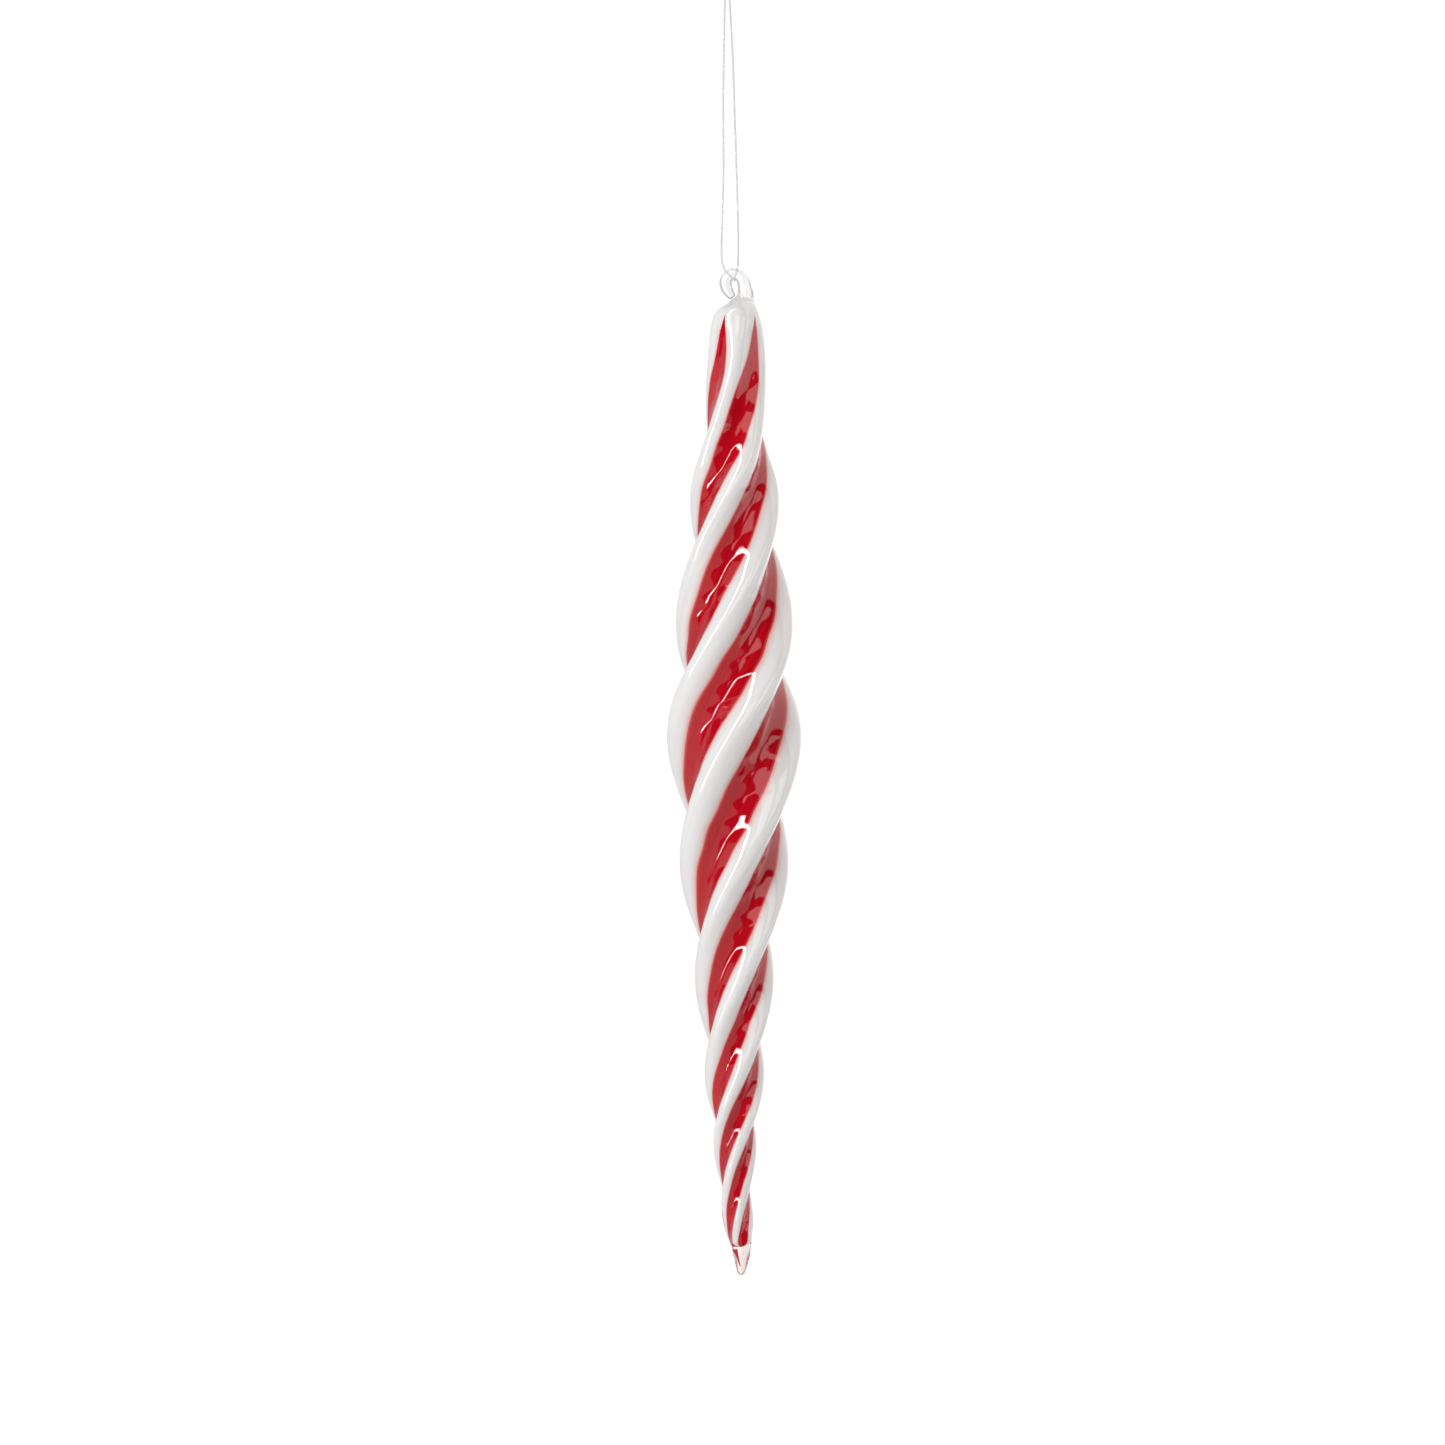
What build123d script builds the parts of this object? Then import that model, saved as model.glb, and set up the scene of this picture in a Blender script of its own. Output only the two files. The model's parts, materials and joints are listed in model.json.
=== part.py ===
"""Icicle hanging ornament: a blown glass icicle with white ribs and red stripes on a thread loop.

Millimetres, +Z up, +X to the right and +Y away from the viewer. The origin is the top of the
thread loop, just under its knot, where a branch or an ornament hook carries the ornament.
"""

from build123d import *
from math import cos, degrees, pi, radians, sin, tan
import os

# Driving dimensions.
GLASS_LENGTH = 302.0  # crown of the hook to the tip
LOOP_DROP = 98.4  # loop top to the crown of the hook
AXIS_X = 2.5  # the glass hangs this far right of the loop top, as the springy thread leans
THREAD = 0.6  # diameter of the nylon monofilament
RIBS = 4
CASING = 0.5  # clear glass over the colours
CANE_WALL = 1.2  # thickness of the coloured glass at the bottom of a groove
CORE = 0.22  # smallest hollow inside the canes, as a share of the groove's radius
GAP = 0.06  # clearance between glass pieces that are fused on the real ornament

# Glass body: depths are measured down from the crown of the hook.
NECK_DEPTH = 10.7
BODY_END = 293.6
RADIUS = [  # depth, radius to the crests of the ribs
    (10.7, 4.35),
    (12.9, 6.3),
    (15.6, 7.4),
    (21.6, 8.3),
    (39.6, 9.5),
    (54.0, 11.2),
    (68.0, 13.4),
    (107.0, 17.9),
    (126.0, 19.7),
    (141.0, 20.25),
    (159.0, 19.1),
    (198.0, 14.1),
    (217.5, 11.6),
    (243.0, 9.0),
    (264.0, 6.5),
    (278.0, 5.1),
    (288.6, 4.2),
    (294.6, 3.2),
    (298.0, 2.05),
    (301.0, 1.25),
    (302.0, 0.6),
]
GROOVE = [  # depth, radius at the bottom of a groove as a share of the crest's
    (10.7, 1.0),
    (16.0, 0.92),
    (28.0, 0.8),
    (60.0, 0.675),
    (80.0, 0.635),
    (240.0, 0.635),
    (286.0, 0.7),
    (294.0, 0.86),
    (298.0, 1.0),
]
LEAN = [  # depth, how far the centre of the section stands right of the glass's axis
    (10.7, 2.1),
    (12.9, 0.95),
    (15.6, 0.7),
    (26.0, 0.7),
    (39.6, 0.3),
    (60.0, 0.0),
    (250.0, 0.0),
    (279.6, 0.55),
    (288.6, 1.25),
    (294.6, 2.05),
    (298.0, 2.1),
    (302.0, 1.9),
]
TWIST = [  # depth, quarter turns of the ribs since one faced the front
    (16.0, -0.1),
    (27.0, 0.01),
    (34.2, 0.135),
    (45.0, 0.39),
    (55.8, 0.68),
    (66.6, 1.04),
    (84.6, 1.56),
    (109.8, 2.2),
    (138.6, 2.95),
    (171.0, 3.68),
    (199.8, 4.46),
    (221.0, 5.12),
    (246.6, 6.06),
    (268.0, 7.1),
    (286.0, 8.02),
    (293.4, 8.42),
]
STRIPE_HALF = [  # depth, half the angle that a red stripe covers, which is nothing at its point
    (14.2, 0.0),
    (20.0, 9.5),
    (27.0, 20.0),
    (34.0, 27.5),
    (50.0, 26.5),
    (63.0, 23.8),
    (180.0, 23.5),
    (214.0, 23.0),
    (228.0, 20.5),
    (241.0, 24.3),
    (254.0, 27.5),
    (286.0, 27.5),
    (294.0, 30.5),
]
SHOULDER_STEPS = (0, 1.1, 2.3, 4.0, 7.0)  # first section depths under the neck
SECTION_STEP = 4.5
TIP_STEP = 0.7
RIM_STEP = 5  # degrees between the points of a section
WHITE_POINTS = 15  # points across a rib's outer face
RED_POINTS = 7  # points across a stripe's outer face
INNER_POINTS = 5  # points across a cane's inner face
STRIPE_START = 0.4  # a stripe starts this far below the depth of its point
RIB_NARROWING = 1.4  # 1 gives ribs and grooves the same width, more gives wider grooves

# Hook: centre (x right of the axis, depth) and radius of the drawn rod, from neck to curled end.
HOOK_ROD = [
    (2.1, 10.68, 4.3),
    (3.0, 9.6, 3.15),
    (3.3, 8.1, 2.58),
    (3.1, 6.0, 2.2),
    (2.5, 3.75, 1.95),
    (1.35, 2.2, 1.77),
    (-0.4, 1.71, 1.71),
    (-2.05, 2.75, 1.8),
    (-2.72, 4.6, 1.88),
    (-2.1, 6.65, 1.68),
    (-1.1, 8.2, 1.3),
]
HOOK_END_LENGTH = 0.7  # the rod's last bit, past its last station
HOOK_END_TAPER = 0.72

PINCH = [  # depth, thickness of the section from front to back as a share of its width
    (293.0, 1.0),
    (298.0, 0.78),
    (302.0, 0.7),
]

# Red streak in the clear tip: centre right of the axis, depth and radius.
TIP_STREAK = [(0.5, 294.0, 0.4), (1.15, 296.8, 0.28), (1.75, 299.4, 0.12)]

# Thread: the two strands from the knot to the hook, and the bight that passes through the eye.
EYE_DEPTH = 3.8  # centre of the thread where it carries the hook
SIDE = 2.3  # how far in front of the rod and behind it the thread passes
ROD_BEND = 2.0  # radius of the thread round the rod
BIGHT_TOP = -95.4  # the bight starts above everything that turns with the glass
BIGHT_FRONT = (-0.85, -98.9)  # where the front strand turns towards the eye
BIGHT_BACK = (3.3, -98.6)  # where the back strand turns away from it
FRONT_BEND = 4.2  # radii of those two turns
BACK_BEND = 9.0
FRONT_STRAND = [
    (-0.32, 0.0, 0.0),
    (-0.4, -0.4, -18.0),
    (-0.75, -0.85, -34.0),
    (-1.0, -1.3, -51.0),
    (-0.75, -1.75, -69.0),
    (-1.25, -2.1, -84.0),
    (-1.55, -SIDE, BIGHT_TOP),
]
BACK_STRAND = [
    (0.32, 0.0, 0.0),
    (0.95, 0.45, -18.0),
    (1.95, 0.9, -34.0),
    (2.45, 1.35, -51.0),
    (3.1, 1.8, -69.0),
    (3.5, 2.1, -84.0),
    (3.65, SIDE, BIGHT_TOP),
]
BEND_SHARE = 0.45  # how much of the shorter run beside a bend its arc may use
KNOT = (0.95, 0.85, 1.2)  # half sizes
TAILS = [(-1.3, -0.5, 7.2), (1.6, 0.6, 6.4)]  # ends of the two trimmed tails


def along(stations, depth):
    """Value at a depth on the smooth curve through the stations."""
    last = len(stations) - 1
    i = next((k for k in range(last) if depth <= stations[k + 1][0]), last - 1)

    def slope(k):
        before, after = stations[max(k - 1, 0)], stations[min(k + 1, last)]
        return (after[1] - before[1]) / (after[0] - before[0])

    (d0, v0), (d1, v1) = stations[i], stations[i + 1]
    if depth <= d0:
        return v0 + slope(i) * (depth - d0)
    if depth >= d1:
        return v1 + slope(i + 1) * (depth - d1)
    run = d1 - d0
    t = (depth - d0) / run
    rise = v0 * (1 - 3 * t**2 + 2 * t**3) + v1 * (3 * t**2 - 2 * t**3)
    return rise + run * (slope(i) * (t - 2 * t**2 + t**3) + slope(i + 1) * (t**3 - t**2))


def stripe_half_angle(depth):
    """Half the angle of a red stripe, which comes to a point at its top."""
    return max(along(STRIPE_HALF, depth), 0.0)


def rib_half_angle(depth):
    """Half the angle that the white of a rib covers between its two stripes."""
    return 45 - stripe_half_angle(depth)


def outside(depth, angle, inset=0.0):
    """Radius of the glass at an angle in degrees from any crest, less an inset."""
    crest = along(RADIUS, depth)
    groove = min(along(GROOVE, depth), 1.0)
    wave = (1 + cos(radians(RIBS * angle))) / 2
    rib = wave / (wave + RIB_NARROWING * (1 - wave))
    return crest * (groove + (1 - groove) * rib) - inset


def place(depth, radius, angle):
    """A point of the glass body, its angle counted from the rib that faces the front first."""
    turn = radians(angle - 90 - 90 * along(TWIST, depth))
    x = AXIS_X + along(LEAN, depth) + radius * cos(turn)
    pinch = min(along(PINCH, depth), 1.0)
    return Vector(x, pinch * radius * sin(turn), -LOOP_DROP - depth)


def depths(start, end, step):
    """Evenly spaced section depths, closer together in the shoulder."""
    shoulder = [start + d for d in SHOULDER_STEPS if 2 * d <= end - start]
    length = end - shoulder[-1]
    count = round(length / step)
    return shoulder + [shoulder[-1] + length * (i + 1) / count for i in range(count)]


def curve(points):
    """A smooth edge through evenly spaced points, which every section divides in the same way."""
    spans = len(points) - 1
    return Edge.make_spline(points, parameters=[i / spans for i in range(spans + 1)])


def cane(middle, half_angle, start, end, points):
    """One coloured cane: its crest or groove line is at the angle middle from the first rib."""
    sections = []
    for depth in depths(start, end, SECTION_STEP):
        half = half_angle(depth)
        half = half - degrees(GAP / outside(depth, 45 - half))
        spread = [half * (2 * i / (points - 1) - 1) for i in range(points)]
        rims = []
        for offset in spread:
            angle = middle + offset
            rims.append(place(depth, outside(depth, angle, CASING + GAP), angle))
        groove = along(RADIUS, depth) * min(along(GROOVE, depth), 1.0)
        inner = max(groove - CASING - CANE_WALL, CORE * groove)
        sides = [1 - 2 * i / (INNER_POINTS - 1) for i in range(INNER_POINTS)]
        inside = [place(depth, inner, middle + half * side) for side in sides]
        outline = [
            curve(rims),
            Line(rims[-1], inside[0]),
            curve(inside),
            Line(inside[-1], rims[0]),
        ]
        sections.append(Wire(outline))
    return Solid.make_loft(sections)


def skin(inset, start, end, step=SECTION_STEP):
    """The closed body inside the glass's outer surface, less an inset."""
    sections = []
    for depth in depths(start, end, step):
        outline = []
        for rib in range(RIBS):
            rims = []
            for offset in range(-45, 46, RIM_STEP):
                rims.append(place(depth, outside(depth, offset, inset), 90 * rib + offset))
            outline.append(curve(rims))
        sections.append(Wire(outline))
    return Solid.make_loft(sections)


def clear_casing():
    """The clear outer layer, open where the hook and the tip close it."""
    return skin(0.0, NECK_DEPTH, BODY_END) - skin(CASING, NECK_DEPTH, BODY_END)


def glass_hook():
    """The drawn rod that leaves the neck, bends over and curls down to close an eye."""
    centres = [Vector(AXIS_X + x, 0, -LOOP_DROP - depth) for x, depth, _ in HOOK_ROD]
    line = Spline(*centres)
    sections = []
    for centre, (_, _, radius) in zip(centres, HOOK_ROD):
        heading = line.tangent_at(centre)
        if centre is centres[0]:
            heading = Vector(0, 0, 1)
        plane = Plane(origin=centre, x_dir=(0, 1, 0), z_dir=heading)
        sections.append(Wire.make_circle(radius, plane))
    end_radius = HOOK_ROD[-1][2] * HOOK_END_TAPER
    heading = line.tangent_at(centres[-1])
    plane = Plane(centres[-1] + heading * HOOK_END_LENGTH, x_dir=(0, 1, 0), z_dir=heading)
    sections.append(Wire.make_circle(end_radius, plane))
    return Solid.make_loft(sections)


def streak(inset):
    """The thin red streak drawn down into the clear tip."""
    rings = []
    for x, depth, radius in TIP_STREAK:
        plane = Plane(origin=(AXIS_X + x, 0, -LOOP_DROP - depth))
        rings.append(Wire.make_circle(radius - inset, plane))
    return Solid.make_loft(rings)


def clear_tip():
    """The pinched clear point that closes the body, with a bore for the red streak."""
    return skin(0.0, BODY_END, GLASS_LENGTH, TIP_STEP) - streak(0.0)


def bent_tube(points, radii=None):
    """A thread along straight runs joined by arcs as large as the runs allow."""
    route = [Vector(*p) for p in points]
    if radii is None:
        radii = []
        for before, here, after in zip(route, route[1:], route[2:]):
            turn = (here - before).get_angle(after - here)
            shorter = min((here - before).length, (after - here).length)
            radii.append(BEND_SHARE * shorter / tan(radians(turn) / 2))
    path = FilletPolyline(*route, radius=radii)
    start = Plane(origin=path @ 0, z_dir=path % 0)
    tube = sweep(start * Circle(THREAD / 2), path=path)
    straight_volume = path.length * pi * (THREAD / 2) ** 2
    print("  arc radii", [round(r, 1) for r in radii], "length", round(path.length, 1))
    print("  volume against section times length", round(tube.volume / straight_volume, 4))
    return tube


def thread_bight():
    """The short bend of thread that passes through the eye from front to back."""
    eye = -LOOP_DROP - EYE_DEPTH
    route = [
        FRONT_STRAND[-1],
        (BIGHT_FRONT[0], -SIDE, BIGHT_FRONT[1]),
        (AXIS_X, -SIDE, eye),
        (AXIS_X, SIDE, eye),
        (BIGHT_BACK[0], SIDE, BIGHT_BACK[1]),
        BACK_STRAND[-1],
    ]
    return bent_tube(route, [FRONT_BEND, ROD_BEND, ROD_BEND, BACK_BEND])


def thread_knot():
    """The overhand knot that ties the two ends together, with its trimmed tails."""
    middle = Vector(0, 0, KNOT[2])
    knot = Pos(middle) * scale(Sphere(1), by=KNOT)
    for end in TAILS:
        tail = Vector(*end) - middle
        tail_section = Plane(origin=middle, z_dir=tail) * Circle(THREAD / 2)
        knot = knot + extrude(tail_section, tail.length, dir=tail)
    return knot


def main():
    os.makedirs("parts", exist_ok=True)
    nodes = {
        "glass_hook": glass_hook(),
        "clear_casing": clear_casing(),
        "clear_tip": clear_tip(),
        "tip_streak": streak(GAP),
        "thread_bight": thread_bight(),
        "thread_loop": Compound([bent_tube(FRONT_STRAND), bent_tube(BACK_STRAND)]),
        "thread_knot": thread_knot(),
    }
    stripe_top = STRIPE_HALF[0][0] + STRIPE_START
    for i in range(RIBS):
        white = cane(90 * i, rib_half_angle, NECK_DEPTH, BODY_END, WHITE_POINTS)
        red = cane(90 * i + 45, stripe_half_angle, stripe_top, BODY_END, RED_POINTS)
        nodes[f"white_rib_{i + 1}"] = white
        nodes[f"red_stripe_{i + 1}"] = red
    for name, shape in nodes.items():
        export_step(shape, f"parts/{name}.step")


main()
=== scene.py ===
"""Looks of the icicle hanging ornament, in metres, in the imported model's own frame."""

import json
from math import pi

import bpy
import numpy as np
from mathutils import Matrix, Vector


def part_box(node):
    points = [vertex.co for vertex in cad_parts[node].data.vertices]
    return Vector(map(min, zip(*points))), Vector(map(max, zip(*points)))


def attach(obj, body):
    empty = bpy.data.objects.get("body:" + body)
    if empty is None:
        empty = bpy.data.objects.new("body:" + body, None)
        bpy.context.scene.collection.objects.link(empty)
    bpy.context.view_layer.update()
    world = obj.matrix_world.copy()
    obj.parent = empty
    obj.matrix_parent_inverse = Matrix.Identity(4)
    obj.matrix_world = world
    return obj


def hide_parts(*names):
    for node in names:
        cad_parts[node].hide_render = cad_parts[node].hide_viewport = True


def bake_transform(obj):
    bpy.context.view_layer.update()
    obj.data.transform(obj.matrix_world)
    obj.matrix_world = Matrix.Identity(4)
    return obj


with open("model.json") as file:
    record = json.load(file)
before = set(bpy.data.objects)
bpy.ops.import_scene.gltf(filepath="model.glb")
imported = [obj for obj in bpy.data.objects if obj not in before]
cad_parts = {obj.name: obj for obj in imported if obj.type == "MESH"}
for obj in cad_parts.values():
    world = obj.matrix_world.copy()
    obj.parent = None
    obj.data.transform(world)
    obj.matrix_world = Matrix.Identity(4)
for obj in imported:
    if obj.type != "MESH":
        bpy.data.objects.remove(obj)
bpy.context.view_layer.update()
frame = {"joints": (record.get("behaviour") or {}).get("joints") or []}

# Where things are, from the frame. A depth is in mm below the crown of the hook.
MM = 0.001
EYE = Vector(frame["joints"][0]["pos_m"])
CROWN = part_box("glass_hook")[1].z
NECK_DEPTH = (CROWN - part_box("clear_casing")[1].z) / MM
BODY_END = (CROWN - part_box("clear_casing")[0].z) / MM
GLASS_LENGTH = (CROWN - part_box("clear_tip")[0].z) / MM

# Shape of the glass, as in the CAD script, in mm and degrees.
RIBS = 4
CASING = 0.5  # thickness of the clear outer layer
CANE_WALL = 1.2  # thickness of the colour at the bottom of a groove
RIB_NARROWING = 1.4  # above 1, a rib is narrower than a groove

# Stations down the glass: (depth, value).
RADIUS = [  # of the crests
    (10.7, 4.35), (12.9, 6.3), (15.6, 7.4), (21.6, 8.3), (39.6, 9.5), (54.0, 11.2),
    (68.0, 13.4), (107.0, 17.9), (126.0, 19.7), (141.0, 20.25), (159.0, 19.1), (198.0, 14.1),
    (217.5, 11.6), (243.0, 9.0), (264.0, 6.5), (278.0, 5.1), (288.6, 4.2), (294.6, 3.2),
    (298.0, 2.05), (301.0, 1.25), (302.0, 0.6),
]
GROOVE = [  # radius at the bottom of a groove, as a share of the crests'
    (10.7, 1.0), (16.0, 0.92), (28.0, 0.8), (60.0, 0.675), (80.0, 0.635), (240.0, 0.635),
    (286.0, 0.7), (294.0, 0.86), (298.0, 1.0),
]
LEAN = [  # how far the middle lies right of the eye
    (10.7, 2.1), (12.9, 0.95), (15.6, 0.7), (26.0, 0.7), (39.6, 0.3), (60.0, 0.0),
    (250.0, 0.0), (279.6, 0.55), (288.6, 1.25), (294.6, 2.05), (298.0, 2.1), (302.0, 1.9),
]
TWIST = [  # in quarter turns
    (16.0, -0.1), (27.0, 0.01), (34.2, 0.135), (45.0, 0.39), (55.8, 0.68), (66.6, 1.04),
    (84.6, 1.56), (109.8, 2.2), (138.6, 2.95), (171.0, 3.68), (199.8, 4.46), (221.0, 5.12),
    (246.6, 6.06), (268.0, 7.1), (286.0, 8.02), (293.4, 8.42),
]
STRIPE_HALF = [  # half the angle of a red stripe
    (14.2, 0.0), (20.0, 9.5), (27.0, 20.0), (34.0, 27.5), (50.0, 26.5), (63.0, 23.8),
    (180.0, 23.5), (214.0, 23.0), (228.0, 20.5), (241.0, 24.3), (254.0, 27.5), (286.0, 27.5),
    (294.0, 30.5),
]
PINCH = [(293.0, 1.0), (298.0, 0.78), (302.0, 0.7)]  # size from front to back, as a share of the width

# Lines of round rods: (x right of the eye, depth, radius).
HOOK_ROD = [
    (2.1, 10.68, 4.3), (3.0, 9.6, 3.15), (3.3, 8.1, 2.58), (3.1, 6.0, 2.2), (2.5, 3.75, 1.95),
    (1.35, 2.2, 1.77), (-0.4, 1.71, 1.71), (-2.05, 2.75, 1.8), (-2.72, 4.6, 1.88),
    (-2.1, 6.65, 1.68), (-1.1, 8.2, 1.3),
]
TIP_STREAK = [(0.5, 294.0, 0.4), (1.15, 296.8, 0.28), (1.75, 299.4, 0.12)]

# The thread, in metres, and its route, in mm: from the eye up behind the hook, round in the knot
# and down in front of the hook to the eye again.
THREAD = 0.6 * MM
THREAD_SIDES = 12
SIDE = 2.3  # how far behind and in front of the eye the thread turns up
END_GAP = 0.25  # between the thread's two ends, in the eye
BACK_ROUTE = [
    (3.3, SIDE, -98.6), (3.65, 2.3, -95.4), (3.5, 2.1, -84.0), (3.1, 1.8, -69.0),
    (2.45, 1.35, -51.0), (1.95, 0.9, -34.0), (0.95, 0.45, -18.0), (0.32, 0.0, 0.0),
]
KNOT_ROUTE = [(0.75, 0.0, 0.9), (0.7, 0.0, 2.1), (-0.7, 0.0, 2.1), (-0.75, 0.0, 0.9)]
FRONT_ROUTE = [
    (-0.32, 0.0, 0.0), (-0.4, -0.4, -18.0), (-0.75, -0.85, -34.0), (-1.0, -1.3, -51.0),
    (-0.75, -1.75, -69.0), (-1.25, -2.1, -84.0), (-1.55, -2.3, -95.4), (-0.85, -SIDE, -98.9),
]

# The knot, in mm: a trefoil knot, and its two tails.
KNOT_WIDTH = 0.42
KNOT_HEIGHT = 0.5
KNOT_MIDDLE = 0.95  # height of its middle above the origin
KNOT_LOOPS = 1.7  # share of the trefoil's doubled wave, where its plain wave has 1
KNOT_UNIT = 1.9  # what the trefoil's formula gives for one width or height
KNOT_STEPS = 90
TAILS = [
    [(-0.2, 0.0, 1.2), (-0.45, -0.1, 2.4), (-0.8, -0.25, 4.2), (-1.3, -0.5, 7.0)],
    [(0.2, 0.0, 1.2), (0.5, 0.15, 2.3), (1.0, 0.35, 4.0), (1.6, 0.6, 6.3)],
]


# Camera.

VIEW_WIDTH = 0.4335  # at the ornament
VIEW_DISTANCE = 2.2
VIEW_CENTRE = EYE + Vector((-3.66, 0.0, -132.55)) * MM
VIEW_LIMIT = 20.0  # how far the camera sees
SENSOR_WIDTH = 36.0  # in mm


def make_camera():
    """A level camera in front of the ornament, which looks along +Y."""
    data = bpy.data.cameras.new("camera")
    data.sensor_width = SENSOR_WIDTH
    data.lens = SENSOR_WIDTH * VIEW_DISTANCE / VIEW_WIDTH
    data.clip_end = VIEW_LIMIT
    camera = bpy.data.objects.new("camera", data)
    camera.location = (VIEW_CENTRE.x, -VIEW_DISTANCE, VIEW_CENTRE.z)
    camera.rotation_euler = (pi / 2, 0, 0)
    bpy.context.scene.collection.objects.link(camera)
    bpy.context.scene.camera = camera


make_camera()


# Mesh helpers.

def new_piece(name, points, faces, material, node_names, body):
    """A smooth mesh object that stands for CAD nodes and rides on the body, if one is given."""
    mesh = bpy.data.meshes.new(name)
    mesh.from_pydata([tuple(p) for p in points], [], faces)
    mesh.polygons.foreach_set("use_smooth", [True] * len(mesh.polygons))
    mesh.materials.append(material)
    mesh.update()
    piece = bpy.data.objects.new(name, mesh)
    bpy.context.scene.collection.objects.link(piece)
    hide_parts(*node_names)
    if body:
        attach(piece, body)
    return piece


def grid_faces(rows, columns, first=0, flip=False):
    """Quads of a grid whose columns close on themselves."""
    faces = []
    for i in range(rows - 1):
        for j in range(columns):
            a = first + i * columns + j
            b = first + i * columns + (j + 1) % columns
            quad = (a, b, b + columns, a + columns)
            faces.append(quad[::-1] if flip else quad)
    return faces


def disc_faces(start, columns, centre, flip=False):
    """Triangles that close a ring onto one centre point."""
    faces = []
    for j in range(columns):
        tri = (start + j, centre, start + (j + 1) % columns)
        faces.append(tri[::-1] if flip else tri)
    return faces


def tube_rings(line, radius, columns, start=0.0, forward=None):
    """Rings of points round a line; radius is one number or one for each point of the line."""
    line = np.asarray(line, float)
    radius = np.broadcast_to(radius, len(line))
    if forward is None:
        forward = np.gradient(line, axis=0)
    forward = forward / np.linalg.norm(forward, axis=1, keepdims=True)
    side = np.cross(forward[0], (0.0, 1.0, 0.0))
    if np.linalg.norm(side) < 0.1:  # the line starts along Y
        side = np.cross(forward[0], (1.0, 0.0, 0.0))
    angle = start + np.arange(columns) * 2 * pi / columns
    rings = []
    for centre, ahead, size in zip(line, forward, radius):
        side = side - ahead * side.dot(ahead)
        side /= np.linalg.norm(side)
        other = np.cross(ahead, side)
        ring = np.outer(np.cos(angle), side) + np.outer(np.sin(angle), other)
        rings.append(centre + size * ring)
    return rings


def tube(line, radius, columns):
    """A closed tube round a line of points."""
    points = np.concatenate([*tube_rings(line, radius, columns), line[:1], line[-1:]])
    last = len(line) * columns
    faces = grid_faces(len(line), columns)
    faces += disc_faces(0, columns, last)
    faces += disc_faces(last - columns, columns, last + 1, flip=True)
    return points, faces


def add_attribute(piece, name, values):
    """A number for every vertex, for the materials to read."""
    attribute = piece.data.attributes.new(name, "FLOAT", "POINT")
    attribute.data.foreach_set("value", np.asarray(values, np.float32))


# The glass body's surface.

def along(stations, depth):
    """Values at an array of depths on the smooth curve through the stations."""
    depth = np.asarray(depth, float)
    at = np.array([s[0] for s in stations], float)
    value = np.array([s[1] for s in stations], float)
    slope = np.empty(len(at))
    slope[1:-1] = (value[2:] - value[:-2]) / (at[2:] - at[:-2])
    slope[0] = (value[1] - value[0]) / (at[1] - at[0])
    slope[-1] = (value[-1] - value[-2]) / (at[-1] - at[-2])
    i = np.clip(np.searchsorted(at, depth, side="left") - 1, 0, len(at) - 2)
    run = at[i + 1] - at[i]
    t = (depth - at[i]) / run
    inside = (
        value[i] * (1 - 3 * t**2 + 2 * t**3)
        + value[i + 1] * (3 * t**2 - 2 * t**3)
        + run * (slope[i] * (t - 2 * t**2 + t**3) + slope[i + 1] * (t**3 - t**2))
    )
    before = value[0] + slope[0] * (depth - at[0])
    after = value[-1] + slope[-1] * (depth - at[-1])
    return np.where(depth < at[0], before, np.where(depth > at[-1], after, inside))


def rod_line(stations, t):
    """Points and radii of a rod, in mm. The rows of its stations are t, x, depth and radius."""
    x, depth, radius = (along(list(zip(stations[0], values)), t) for values in stations[1:])
    return np.stack([EYE.x / MM + x, 0 * x, CROWN / MM - depth], -1), radius


def rib_height(angle):
    """1 on a rib's crest and 0 at the bottom of a groove."""
    wave = (1 + np.cos(np.radians(RIBS * np.asarray(angle)))) / 2
    return wave / (wave + RIB_NARROWING * (1 - wave))


# Marks of the drawn glass, in the grooves only, in mm. A wave's length is given over 2 pi.
SCALLOP = 7.3  # length of a scallop
SCALLOP_HEIGHT = 0.3
SCALLOP_MEAN = 0.64  # of their wave, so that they swell the groove no more than they hollow it
SCALLOP_SOFTNESS = 0.004  # at the creases between them
SCALLOP_SLANT = 2.5  # phase that they gain for each radian round the glass
SCALLOP_SHIFTS = [(1.3, 5.1, 0), (0.8, 2.9, 1)]  # amount, wave's length, its waves round the glass
FLUTES = 20
FLUTE_DEPTH = 0.03
FLUTE_SWAY = 0.4  # in radians of their wave
FLUTE_SWAY_LENGTH = 9
FULL_RADIUS = 18  # of the crests, where the marks are at full size
LEAST_SIZE = 0.35
TOP_FADE = 15  # length over which they fade in at the neck
BOTTOM_FADE = 10


def ripple(depth, angle):
    """Height of the marks of the drawn glass: scallops along a groove and fine flutes in it."""
    groove = 1 - rib_height(angle)
    turn = np.radians(angle)
    size = np.clip(along(RADIUS, depth) / FULL_RADIUS, LEAST_SIZE, 1)
    fade_in = np.clip((depth - NECK_DEPTH) / TOP_FADE, 0, 1)
    fade_out = np.clip((BODY_END - depth) / BOTTOM_FADE, 0, 1)
    wander = sum(
        amount * np.sin(depth / length + waves * turn) for amount, length, waves in SCALLOP_SHIFTS
    )
    phase = pi * (depth + wander) / SCALLOP + SCALLOP_SLANT * turn
    scallops = np.sqrt(np.sin(phase) ** 2 + SCALLOP_SOFTNESS) - SCALLOP_MEAN
    flutes = np.sin(FLUTES * turn + FLUTE_SWAY * np.sin(depth / FLUTE_SWAY_LENGTH))
    return fade_in * fade_out * groove * size * (SCALLOP_HEIGHT * scallops + FLUTE_DEPTH * flutes)


def outside(depth, angle, inset=0.0):
    """Radius of the glass in mm, less an inset."""
    crest = along(RADIUS, depth)
    groove = np.minimum(along(GROOVE, depth), 1.0)
    return crest * (groove + (1 - groove) * rib_height(angle)) - inset


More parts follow.
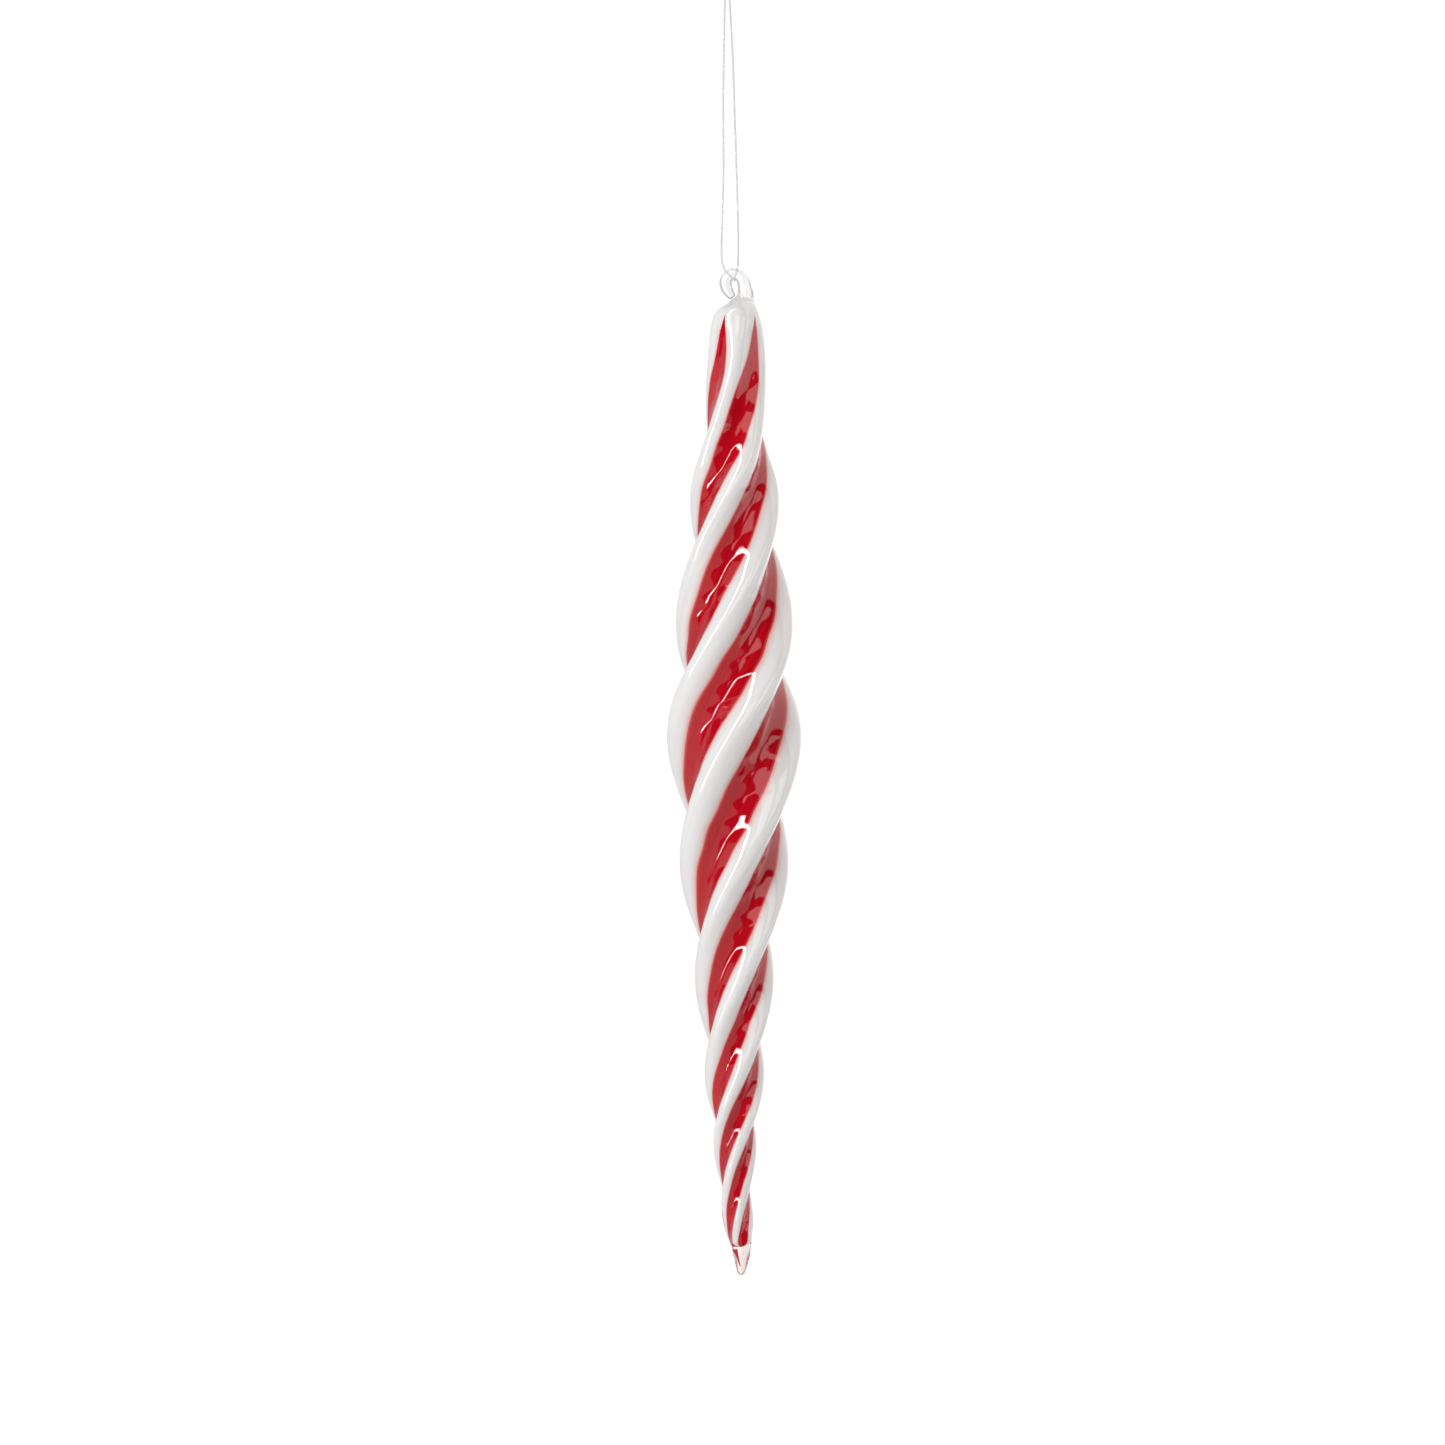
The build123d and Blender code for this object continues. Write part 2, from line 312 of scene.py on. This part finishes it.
def place(depth, radius, angle):
    """Points of the glass body, in metres, one row for each. A rib's crest is at angle 0."""
    turn = np.radians(angle - 90 - 90 * along(TWIST, depth))
    pinch = np.minimum(along(PINCH, depth), 1.0)
    x = EYE.x / MM + along(LEAN, depth) + radius * np.cos(turn)
    y = pinch * radius * np.sin(turn)
    z = CROWN / MM - depth + 0 * x
    return np.stack([x, y, z], -1).reshape(-1, 3) * MM


def middle_point(depth):
    """The middle of the glass body at a depth, as place() gives it."""
    return place(depth, np.zeros(1), np.zeros(1))


# Materials.

class Nodes:
    """A short way to build a node tree."""

    def __init__(self, owner):
        owner.use_nodes = True
        self.tree = owner.node_tree

    def add(self, kind, **settings):
        node = self.tree.nodes.new(kind)
        for key, value in settings.items():
            setattr(node, key, value)
        return node

    def link(self, output, socket):
        self.tree.links.new(output, socket)

    def attribute(self, name):
        return self.add("ShaderNodeAttribute", attribute_name=name).outputs["Fac"]

    def maths(self, operation, a, b=None):
        node = self.add("ShaderNodeMath", operation=operation)
        for socket, value in zip(node.inputs, (a, b)):
            if isinstance(value, (int, float)):
                socket.default_value = value
            elif value is not None:
                self.link(value, socket)
        return node.outputs[0]

    def noise(self, vector, scale, detail):
        node = self.add("ShaderNodeTexNoise")
        node.inputs["Scale"].default_value = scale
        node.inputs["Detail"].default_value = detail
        self.link(vector, node.inputs["Vector"])
        return node.outputs["Fac"]

    def solid_noise(self, scale, detail):
        """Noise in the object's own space."""
        return self.noise(self.add("ShaderNodeTexCoord").outputs["Object"], scale, detail)

    def grain(self, x, y, scale_x, scale_y, detail=3.0):
        """Noise over two surface lengths, so it follows the twist."""
        join = self.add("ShaderNodeCombineXYZ")
        self.link(self.maths("MULTIPLY", x, scale_x), join.inputs[0])
        self.link(self.maths("MULTIPLY", y, scale_y), join.inputs[1])
        return self.noise(join.outputs[0], 1.0, detail)

    def ramp(self, value, stops):
        """Colours, or greys given as one number, at places from 0 to 1."""
        node = self.add("ShaderNodeValToRGB")
        elements = node.color_ramp.elements
        while len(elements) < len(stops):
            elements.new(0.5)
        for element, (position, colour) in zip(elements, stops):
            element.position = position
            element.color = (*colour, 1) if isinstance(colour, tuple) else (colour,) * 3 + (1,)
        self.link(value, node.inputs[0])
        return node.outputs[0]

    def blend(self, factor, a, b):
        """a where the factor is 0 and b where it is 1, for plain numbers."""
        change = self.maths("MULTIPLY", self.maths("SUBTRACT", b, a), factor)
        return self.maths("ADD", a, change)

    def mix(self, factor, a, b):
        """The same for colours."""
        node = self.add("ShaderNodeMix", data_type="RGBA")
        for socket, value in ((node.inputs[0], factor), (node.inputs[6], a), (node.inputs[7], b)):
            if isinstance(value, (int, float)):
                socket.default_value = value
            elif isinstance(value, tuple):
                socket.default_value = (*value, 1)
            else:
                self.link(value, socket)
        return node.outputs[2]

    def step(self, value, edge, blur, start=0, stop=1):
        """From start to stop as the value passes the edge, over the blur on both sides of it."""
        node = self.add("ShaderNodeMapRange", interpolation_type="SMOOTHSTEP")
        self.link(value, node.inputs["Value"])
        node.inputs["From Min"].default_value = edge - blur
        node.inputs["From Max"].default_value = edge + blur
        node.inputs["To Min"].default_value = start
        node.inputs["To Max"].default_value = stop
        return node.outputs[0]

    def band(self, value, low, high, blur):
        """1 where the value is between low and high, with soft ends."""
        rise = self.step(value, low, blur)
        fall = self.step(value, high, blur, 1, 0)
        return self.maths("MULTIPLY", rise, fall)


class Material(Nodes):
    """A material on one Principled shader."""

    def __init__(self, name):
        self.material = bpy.data.materials.new(name)
        super().__init__(self.material)
        self.shader = self.tree.nodes["Principled BSDF"]

    def set(self, **values):
        """Values for the shader's own sockets, with _ for each space in their names."""
        for key, value in values.items():
            self.shader.inputs[key.replace("_", " ")].default_value = value

    def feed(self, output, socket):
        self.link(output, self.shader.inputs[socket])

    def bump(self, height, strength, distance):
        node = self.add("ShaderNodeBump")
        node.inputs["Strength"].default_value = strength
        node.inputs["Distance"].default_value = distance
        self.link(height, node.inputs["Height"])
        self.feed(node.outputs[0], "Normal")


def clear_glass():
    """Clear glass with a slight waviness, and a trace of the red in its point."""
    m = Material("clear_glass")
    m.set(Transmission_Weight=1.0, IOR=1.47, Roughness=0.0)
    m.feed(m.mix(m.attribute("tip"), (1.0, 1.0, 1.0), (1.0, 0.86, 0.84)), "Base Color")
    m.bump(m.solid_noise(scale=260.0, detail=1.0), strength=0.25, distance=0.2 * MM)
    return m.material


STREAK_STOPS = (0.3, 0.55, 0.75)
ROUGHNESS_GRAIN = (900.0, 30.0)


def coloured_glass(name, streak_scale, streaks, seam_stops, seam_colour, roughness):
    """Glass under the clear casing, with lengthwise streaks and a seam along its edges.

    The casing has all the gloss, so this has none of its own.
    """
    m = Material(name)
    across = m.attribute("across")
    run = m.attribute("run")
    body = m.ramp(m.grain(across, run, *streak_scale), list(zip(STREAK_STOPS, streaks)))
    seam = m.ramp(m.attribute("edge"), seam_stops)
    m.feed(m.mix(seam, body, seam_colour), "Base Color")
    rough = m.ramp(m.grain(across, run, *ROUGHNESS_GRAIN), list(zip((0.0, 1.0), roughness)))
    m.feed(rough, "Roughness")
    m.set(Specular_IOR_Level=0.0)
    return m.material


def nylon():
    """Translucent grey-white monofilament, rougher in some places than in others."""
    m = Material("nylon")
    m.set(Base_Color=(0.80, 0.81, 0.815, 1), Transmission_Weight=0.35, IOR=1.5)
    m.feed(m.ramp(m.solid_noise(scale=90.0, detail=2.0), [(0.0, 0.12), (1.0, 0.4)]), "Roughness")
    return m.material


CLEAR = clear_glass()
WHITE = coloured_glass(  # warm opal with a pink seam beside the red
    "white_glass",
    streak_scale=(700.0, 18.0),
    streaks=[(0.83, 0.82, 0.812), (0.88, 0.873, 0.868), (0.91, 0.906, 0.902)],
    seam_stops=[(0.0, 0.0), (0.72, 0.0), (0.88, 0.3), (0.98, 1.0)],
    seam_colour=(0.88, 0.48, 0.44),
    roughness=(0.25, 0.4),
)
RED = coloured_glass(  # deep red with a lighter seam
    "red_glass",
    streak_scale=(900.0, 22.0),
    streaks=[(0.49, 0.002, 0.010), (0.59, 0.004, 0.016), (0.66, 0.008, 0.02)],
    seam_stops=[(0.0, 0.0), (0.9, 0.0), (1.0, 0.6)],
    seam_colour=(0.82, 0.22, 0.18),
    roughness=(0.2, 0.35),
)
NYLON = nylon()


# The thread, whose route is the CAD script's.

def spline_points(route):
    """Points on the NURBS line that has the route's points as its control points."""
    curve = bpy.data.curves.new("thread_line", "CURVE")
    curve.dimensions = "3D"
    curve.resolution_u = 24
    spline = curve.splines.new("NURBS")
    spline.points.add(len(route) - 1)
    for point, place_mm in zip(spline.points, route):
        point.co = (*(Vector(place_mm) * MM), 1)
    spline.order_u = 3
    spline.use_endpoint_u = True
    line_object = bpy.data.objects.new("thread_line", curve)
    bpy.context.scene.collection.objects.link(line_object)
    bpy.context.view_layer.update()
    line_mesh = bpy.data.meshes.new_from_object(line_object)
    line = np.array([v.co for v in line_mesh.vertices])
    bpy.data.objects.remove(line_object)
    return line


def make_thread():
    """One monofilament from the eye up to the knot and back, as a tube on its NURBS line."""
    x, _, z = EYE / MM
    start = [(x, 0.0, z), (x, SIDE, z)]
    end = [(x, -SIDE, z), (x, -END_GAP, z)]
    line = spline_points([*start, *BACK_ROUTE, *KNOT_ROUTE, *FRONT_ROUTE, *end])
    points, faces = tube(line, THREAD / 2, THREAD_SIDES)
    piece = new_piece(
        "thread_loop_strand", points, faces, NYLON, ["thread_loop", "thread_bight"], None
    )
    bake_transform(piece)
    return piece, line


def make_knot():
    """A knot in the doubled thread, with its two trimmed tails."""
    t = np.linspace(0, 2 * pi, KNOT_STEPS, endpoint=False)
    x = KNOT_WIDTH * (np.sin(t) + KNOT_LOOPS * np.sin(2 * t)) / KNOT_UNIT
    z = KNOT_HEIGHT * (np.cos(t) - KNOT_LOOPS * np.cos(2 * t)) / KNOT_UNIT
    y = -KNOT_WIDTH * np.sin(3 * t)
    knot = np.stack([x, y, z + KNOT_MIDDLE], -1) * MM
    lines = [np.concatenate([knot, knot[:1]]), *(np.array(tail) * MM for tail in TAILS)]
    points = []
    faces = []
    for line in lines:
        tube_points, tube_faces = tube(line, THREAD / 2, THREAD_SIDES)
        faces += [tuple(i + len(points) for i in face) for face in tube_faces]
        points += list(tube_points)
    return new_piece("thread_knot_tied", points, faces, NYLON, ["thread_knot"], "thread")


thread, thread_line = make_thread()
knot_piece = make_knot()


# The clear glass. Lengths are in mm.

HOOK_BASE = 2.5  # length over which the rod's rings turn upright as it meets the neck
HOOK_UPRIGHT = 0.7  # below 1, they stay upright for longer
HOOK_STEPS = 120
CAP_STEPS = 14
CAP_LENGTH = 0.8  # of the rod's rounded end, in radii
CAP_POINT = 0.02  # radius left at its middle, in radii
COLUMNS = 40 * RIBS
END_STRETCH = 10  # stretch at each end of the body that has rows of its own
NECK_ROWS = 30
BODY_ROWS = 620
TIP_ROWS = 50
CANE_TOP = NECK_DEPTH + 0.4
CANE_BOTTOM = BODY_END - 0.2
CANE_END = 1.8  # how far from their ends the canes start to round off
CANE_POINT = 0.998  # below 1, so that an end keeps a small width
FUSED = 0.02  # how far the clear glass reaches into the canes
TIP_FADE = 2  # length over which the point takes its trace of red


def hook_rings(start):
    """Rings of the drawn rod from its curled, rounded end down to the neck, and its end point."""
    stations = np.array(HOOK_ROD)
    steps = np.linalg.norm(np.diff(stations[:, :2], axis=0), axis=1)
    knots = np.concatenate([[0], np.cumsum(steps)])
    t = np.linspace(0, knots[-1], HOOK_STEPS)
    line, radius = rod_line([knots, *stations.T], t)
    forward = np.gradient(line, axis=0)
    forward /= np.linalg.norm(forward, axis=1, keepdims=True)
    upright = np.clip(1 - t / HOOK_BASE, 0, 1)[:, None] ** HOOK_UPRIGHT
    forward = forward * (1 - upright) + np.array([0, 0, 1]) * upright
    cap = np.linspace(0, pi / 2, CAP_STEPS)[1:]
    cap_line = line[-1] + np.outer(radius[-1] * CAP_LENGTH * np.sin(cap), forward[-1])
    cap_radius = radius[-1] * np.maximum(np.cos(cap), CAP_POINT)
    line = np.concatenate([line, cap_line])
    radius = np.concatenate([radius, cap_radius])
    forward = np.concatenate([forward, np.repeat(forward[-1:], len(cap), 0)])
    rings = tube_rings(line * MM, radius * MM, COLUMNS, start, forward)
    del rings[0]  # the body's first ring is in its place
    return np.concatenate(rings[::-1]), line[-1:] * MM


def closing(depth):
    """Share of the canes' radius that is left near the two ends of the coloured glass."""
    from_end = np.minimum(depth - CANE_TOP, CANE_BOTTOM - depth)
    return np.sqrt(1 - np.clip(1 - from_end / CANE_END, 0, CANE_POINT) ** 2)


def make_clear_glass():
    """All the clear glass in one: hook, neck, outer layer and the solid point, over the colours."""
    depth = np.concatenate([
        np.linspace(NECK_DEPTH, NECK_DEPTH + END_STRETCH, NECK_ROWS, endpoint=False),
        np.linspace(NECK_DEPTH + END_STRETCH, GLASS_LENGTH - END_STRETCH, BODY_ROWS, endpoint=False),
        GLASS_LENGTH - END_STRETCH * np.cos(np.linspace(0, pi / 2, TIP_ROWS)),
    ])
    angle = np.arange(COLUMNS) * 360 / COLUMNS
    d, a = np.meshgrid(depth, angle, indexing="ij")
    outer = place(d, outside(d, a) + ripple(d, a), a)
    rod, rod_end = hook_rings(np.radians(90 - 90 * float(along(TWIST, NECK_DEPTH))))
    count = len(rod) + len(outer)
    faces = grid_faces(count // COLUMNS, COLUMNS, flip=True)
    faces += disc_faces(0, COLUMNS, count, flip=True)
    faces += disc_faces(count - COLUMNS, COLUMNS, count + 1)
    hollow = depth[(depth > CANE_TOP) & (depth < CANE_BOTTOM)]
    d, a = np.meshgrid(hollow, angle, indexing="ij")
    inner = place(d, outside(d, a, CASING) * closing(d) - FUSED, a)
    first = count + 2
    last = first + len(inner)
    faces += grid_faces(len(hollow), COLUMNS, first)
    faces += disc_faces(first, COLUMNS, last)
    faces += disc_faces(last - COLUMNS, COLUMNS, last + 1, flip=True)
    points = np.concatenate([
        rod, outer, rod_end, middle_point(GLASS_LENGTH),
        inner, middle_point(CANE_TOP), middle_point(CANE_BOTTOM),
    ])
    piece = new_piece(
        "clear_glass_body", points, faces, CLEAR, ["glass_hook", "clear_casing", "clear_tip"],
        "icicle",
    )
    below_end = (CROWN - points[:, 2]) / MM - BODY_END
    add_attribute(piece, "tip", np.clip(below_end / TIP_FADE + 0.5, 0, 1))
    piece.visible_shadow = False


# The coloured glass, in mm and degrees.

STRIPE_TOP = STRIPE_HALF[0][0] + 0.1
CANE_ROWS = 420
CANE_END_ROWS = 14
CANE_COLUMNS = 33
BACK_STEP = 4  # columns of a cane's outer face for each column of its inner face
LEAST_BORE = 0.22  # least radius of the hollow inside, as a share of the groove's
BORE_ROOM = 0.98  # share of the hollow's radius that is used
LEAST_WALL = 0.01
EDGE_WANDER = 0.6
EDGE_WAVE = 2.6  # length of the wander's quick wave, over 2 pi
EDGE_SLOW_WAVE = 6.3
EDGE_SLOW_SHARE = 0.7
EDGE_DRIFT = 1.5  # how far the quick wave runs ahead and falls behind, in radians
EDGE_DRIFT_WAVE = 9
FULL_WANDER = 20  # half angle from which the edges wander in full
FULL_SEAM = 8  # half angle from which the seams show in full
STREAK_STEPS = 24
STREAK_COLUMNS = 16


def stripe_half_angle(depth):
    """Half the angle of a red stripe, whose edges wander a little."""
    half = np.maximum(along(STRIPE_HALF, depth), 0.0)
    quick = np.sin(depth / EDGE_WAVE + EDGE_DRIFT * np.sin(depth / EDGE_DRIFT_WAVE))
    slow = EDGE_SLOW_SHARE * np.sin(depth / EDGE_SLOW_WAVE)
    return half + EDGE_WANDER * (quick + slow) * np.clip(half / FULL_WANDER, 0, 1)


def rib_half_angle(depth):
    return 180 / RIBS - stripe_half_angle(depth)


def make_cane(name, node, middle, half_angle, start, material):
    """One coloured cane as a closed strip that follows the twist, down to the clear point."""
    turned = CANE_END * (1 - np.cos(np.linspace(0, pi / 2, CANE_END_ROWS)))
    depth = np.concatenate([
        start + turned[:-1],
        np.linspace(start + CANE_END, CANE_BOTTOM - CANE_END, CANE_ROWS),
        CANE_BOTTOM - turned[-2::-1],
    ])
    half = half_angle(depth)
    across = np.linspace(-1, 1, CANE_COLUMNS)
    groove = along(RADIUS, depth) * np.minimum(along(GROOVE, depth), 1.0)
    bore = np.maximum(groove - CASING - CANE_WALL, LEAST_BORE * groove) * closing(depth) * BORE_ROOM
    d, s = np.meshgrid(depth, across, indexing="ij")
    angle = middle + s * half[:, None]
    inner = bore[:, None] + 0 * d
    radius = np.maximum(outside(d, angle, CASING) * closing(d), inner + LEAST_WALL)
    front = place(d, radius, angle).reshape(len(depth), -1, 3)
    back = place(d, inner, angle).reshape(len(depth), -1, 3)[:, ::-BACK_STEP]
    rings = np.concatenate([front, back], 1)
    columns = rings.shape[1]
    last = len(depth) * columns
    faces = grid_faces(len(depth), columns, flip=True)
    faces += disc_faces(0, columns, last, flip=True)
    faces += disc_faces(last - columns, columns, last + 1)
    points = np.concatenate([rings.reshape(-1, 3), [rings[0].mean(0), rings[-1].mean(0)]])
    piece = new_piece(name, points, faces, material, [node], "icicle")
    step = np.linalg.norm(np.diff(front[:, CANE_COLUMNS // 2], axis=0), axis=1)
    run = np.concatenate([[0], np.cumsum(step)])
    side = np.concatenate([across, across[::-BACK_STEP]])
    width = np.radians(half) * groove * MM
    beside_red = np.clip(stripe_half_angle(depth) / FULL_SEAM, 0, 1)
    add_attribute(piece, "edge", np.append(np.outer(beside_red, np.abs(side)).ravel(), [0, 0]))
    add_attribute(piece, "run", np.append(np.repeat(run, columns), [0, run[-1]]) + middle)
    add_attribute(piece, "across", np.append(np.outer(width, side).ravel(), [0, 0]))


def make_streak():
    """The thin red streak in the clear point."""
    line, radius = rod_line(
        [range(len(TIP_STREAK)), *np.array(TIP_STREAK).T],
        np.linspace(0, len(TIP_STREAK) - 1, STREAK_STEPS),
    )
    points, faces = tube(line * MM, radius * MM, STREAK_COLUMNS)
    piece = new_piece("tip_streak_red", points, faces, RED, ["tip_streak"], "icicle")
    for name in ("edge", "run", "across"):
        add_attribute(piece, name, [0.0] * len(points))


make_clear_glass()
make_streak()
for i in range(RIBS):
    rib_middle = 360 / RIBS * i
    make_cane(
        f"white_rib_{i + 1}_opal", f"white_rib_{i + 1}", rib_middle, rib_half_angle,
        CANE_TOP, WHITE,
    )
    make_cane(
        f"red_stripe_{i + 1}_glass", f"red_stripe_{i + 1}", rib_middle + 180 / RIBS,
        stripe_half_angle, STRIPE_TOP, RED,
    )


# Stage and light. Angles are in degrees, and brightness 1 is a plain white.

FLOOR_HALF = 1.9  # half the floor's side
FLOOR_HEIGHT = -0.75
KEY_PLACE = (-0.9, -1.1, 0.05)
KEY_TARGET = (0.0025, 0, -0.24)
KEY_SIZE = (0.5, 0.7)
KEY_BRIGHTNESS = 4.3
PANELS = [  # azimuth right of the camera and height, low and high, and brightness
    (64, 181, -80, 86, 2.0),
    (-181, -84, -60, 75, 0.7),
    (24, 54, 10, 33, 2.3),
    (24, 54, -42, -12, 2.0),
    (-26, 8, 16, 38, 2.2),
    (-26, 8, -48, -22, 1.9),
    (-62, -55, -60, 80, 26.0),
]
PANEL_BLUR = 1.5
BETWEEN_PANELS = 0.03
FRONT_SOFT = 0.9  # soft light on the coloured glass, from in front and from behind
BACK_SOFT = 0.85
BACK_SPREAD = 50  # half the spread of the light from behind
BACK_BLUR = 8.0
BACKDROP = 32  # half its spread as the clear glass sees it, from in front or behind
BACKDROP_BLUR = 6.0
BACKDROP_GAIN = 0.45  # how much brighter it is than its surroundings there
SURROUNDINGS = 0.36
GLOSS_SHARE = 0.1  # how much of the panels shows through the clear glass
SEEN_BACKDROP = 1.05  # as the camera sees it
WARM = (1.0, 0.95, 0.93)  # tint of all that comes from the right
WHITE_LIGHT = (1.0, 1.0, 1.0)


def make_world():
    """A white backdrop, soft light all round, and panels that show only in the gloss."""
    world = bpy.data.worlds.new("studio")
    bpy.context.scene.world = world
    n = Nodes(world)
    n.tree.nodes.clear()
    split = n.add("ShaderNodeSeparateXYZ")
    n.link(n.add("ShaderNodeTexCoord").outputs["Generated"], split.inputs[0])
    x, y, z = split.outputs
    azimuth = n.maths("DEGREES", n.maths("ARCTAN2", x, n.maths("MULTIPLY", y, -1.0)))
    height = n.maths("DEGREES", n.maths("ARCSINE", z))
    off_back = n.maths("DEGREES", n.maths("ARCCOSINE", y))
    off_line = n.maths("DEGREES", n.maths("ARCCOSINE", n.maths("ABSOLUTE", y)))

    gloss = BETWEEN_PANELS
    for left, right, low, high, brightness in PANELS:
        sideways = n.band(azimuth, left, right, PANEL_BLUR)
        upright = n.band(height, low, high, PANEL_BLUR)
        panel = n.maths("MULTIPLY", sideways, upright)
        gloss = n.maths("ADD", n.maths("MULTIPLY", panel, brightness), gloss)
    soft = n.blend(n.step(off_back, BACK_SPREAD, BACK_BLUR, 1, 0), FRONT_SOFT, BACK_SOFT)
    backdrop = n.maths("MULTIPLY", n.step(off_line, BACKDROP, BACKDROP_BLUR, 1, 0), BACKDROP_GAIN)
    around = n.maths("ADD", n.maths("MULTIPLY", gloss, GLOSS_SHARE), SURROUNDINGS)
    through = n.maths("ADD", backdrop, around)

    # A ray through sharp glass counts as glossy too, so the gloss is decided first. A ray that has
    # left the coloured glass gets the soft light, and one that has met only clear glass sees out.
    path = n.add("ShaderNodeLightPath").outputs
    undiffused = n.maths("LESS_THAN", path["Diffuse Depth"], 0.5)
    transmitted = n.blend(undiffused, soft, through)
    strength = n.blend(path["Is Glossy Ray"], soft, gloss)
    strength = n.blend(path["Is Transmission Ray"], strength, transmitted)
    strength = n.blend(path["Is Camera Ray"], strength, SEEN_BACKDROP)
    from_right = n.maths("MAXIMUM", x, 0.0)
    background = n.add("ShaderNodeBackground")
    n.link(n.mix(from_right, WHITE_LIGHT, WARM), background.inputs["Color"])
    n.link(strength, background.inputs["Strength"])
    output = n.add("ShaderNodeOutputWorld")
    n.link(background.outputs[0], output.inputs["Surface"])


def make_floor():
    """A pale floor, below the view."""
    mesh = bpy.data.meshes.new("floor")
    corners = [(-1, -1), (1, -1), (1, 1), (-1, 1)]
    points = [(FLOOR_HALF * x, FLOOR_HALF * y, FLOOR_HEIGHT) for x, y in corners]
    mesh.from_pydata(points, [], [(0, 1, 2, 3)])
    floor = bpy.data.objects.new("floor", mesh)
    bpy.context.scene.collection.objects.link(floor)
    m = Material("floor_white")
    m.set(Base_Color=(0.9, 0.9, 0.9, 1), Roughness=0.9)
    mesh.materials.append(m.material)


def make_key_light():
    """A softbox from the left, for the soft light only."""
    width, height = KEY_SIZE
    data = bpy.data.lights.new("key", "AREA")
    data.shape = "RECTANGLE"
    data.size = width
    data.size_y = height
    data.energy = KEY_BRIGHTNESS * pi * width * height
    light = bpy.data.objects.new("key", data)
    light.location = KEY_PLACE
    aim = Vector(KEY_TARGET) - Vector(KEY_PLACE)
    light.rotation_euler = aim.to_track_quat("-Z", "Y").to_euler()
    light.visible_glossy = False
    bpy.context.scene.collection.objects.link(light)


make_world()
make_floor()
make_key_light()
bpy.context.scene.view_settings.view_transform = "Standard"
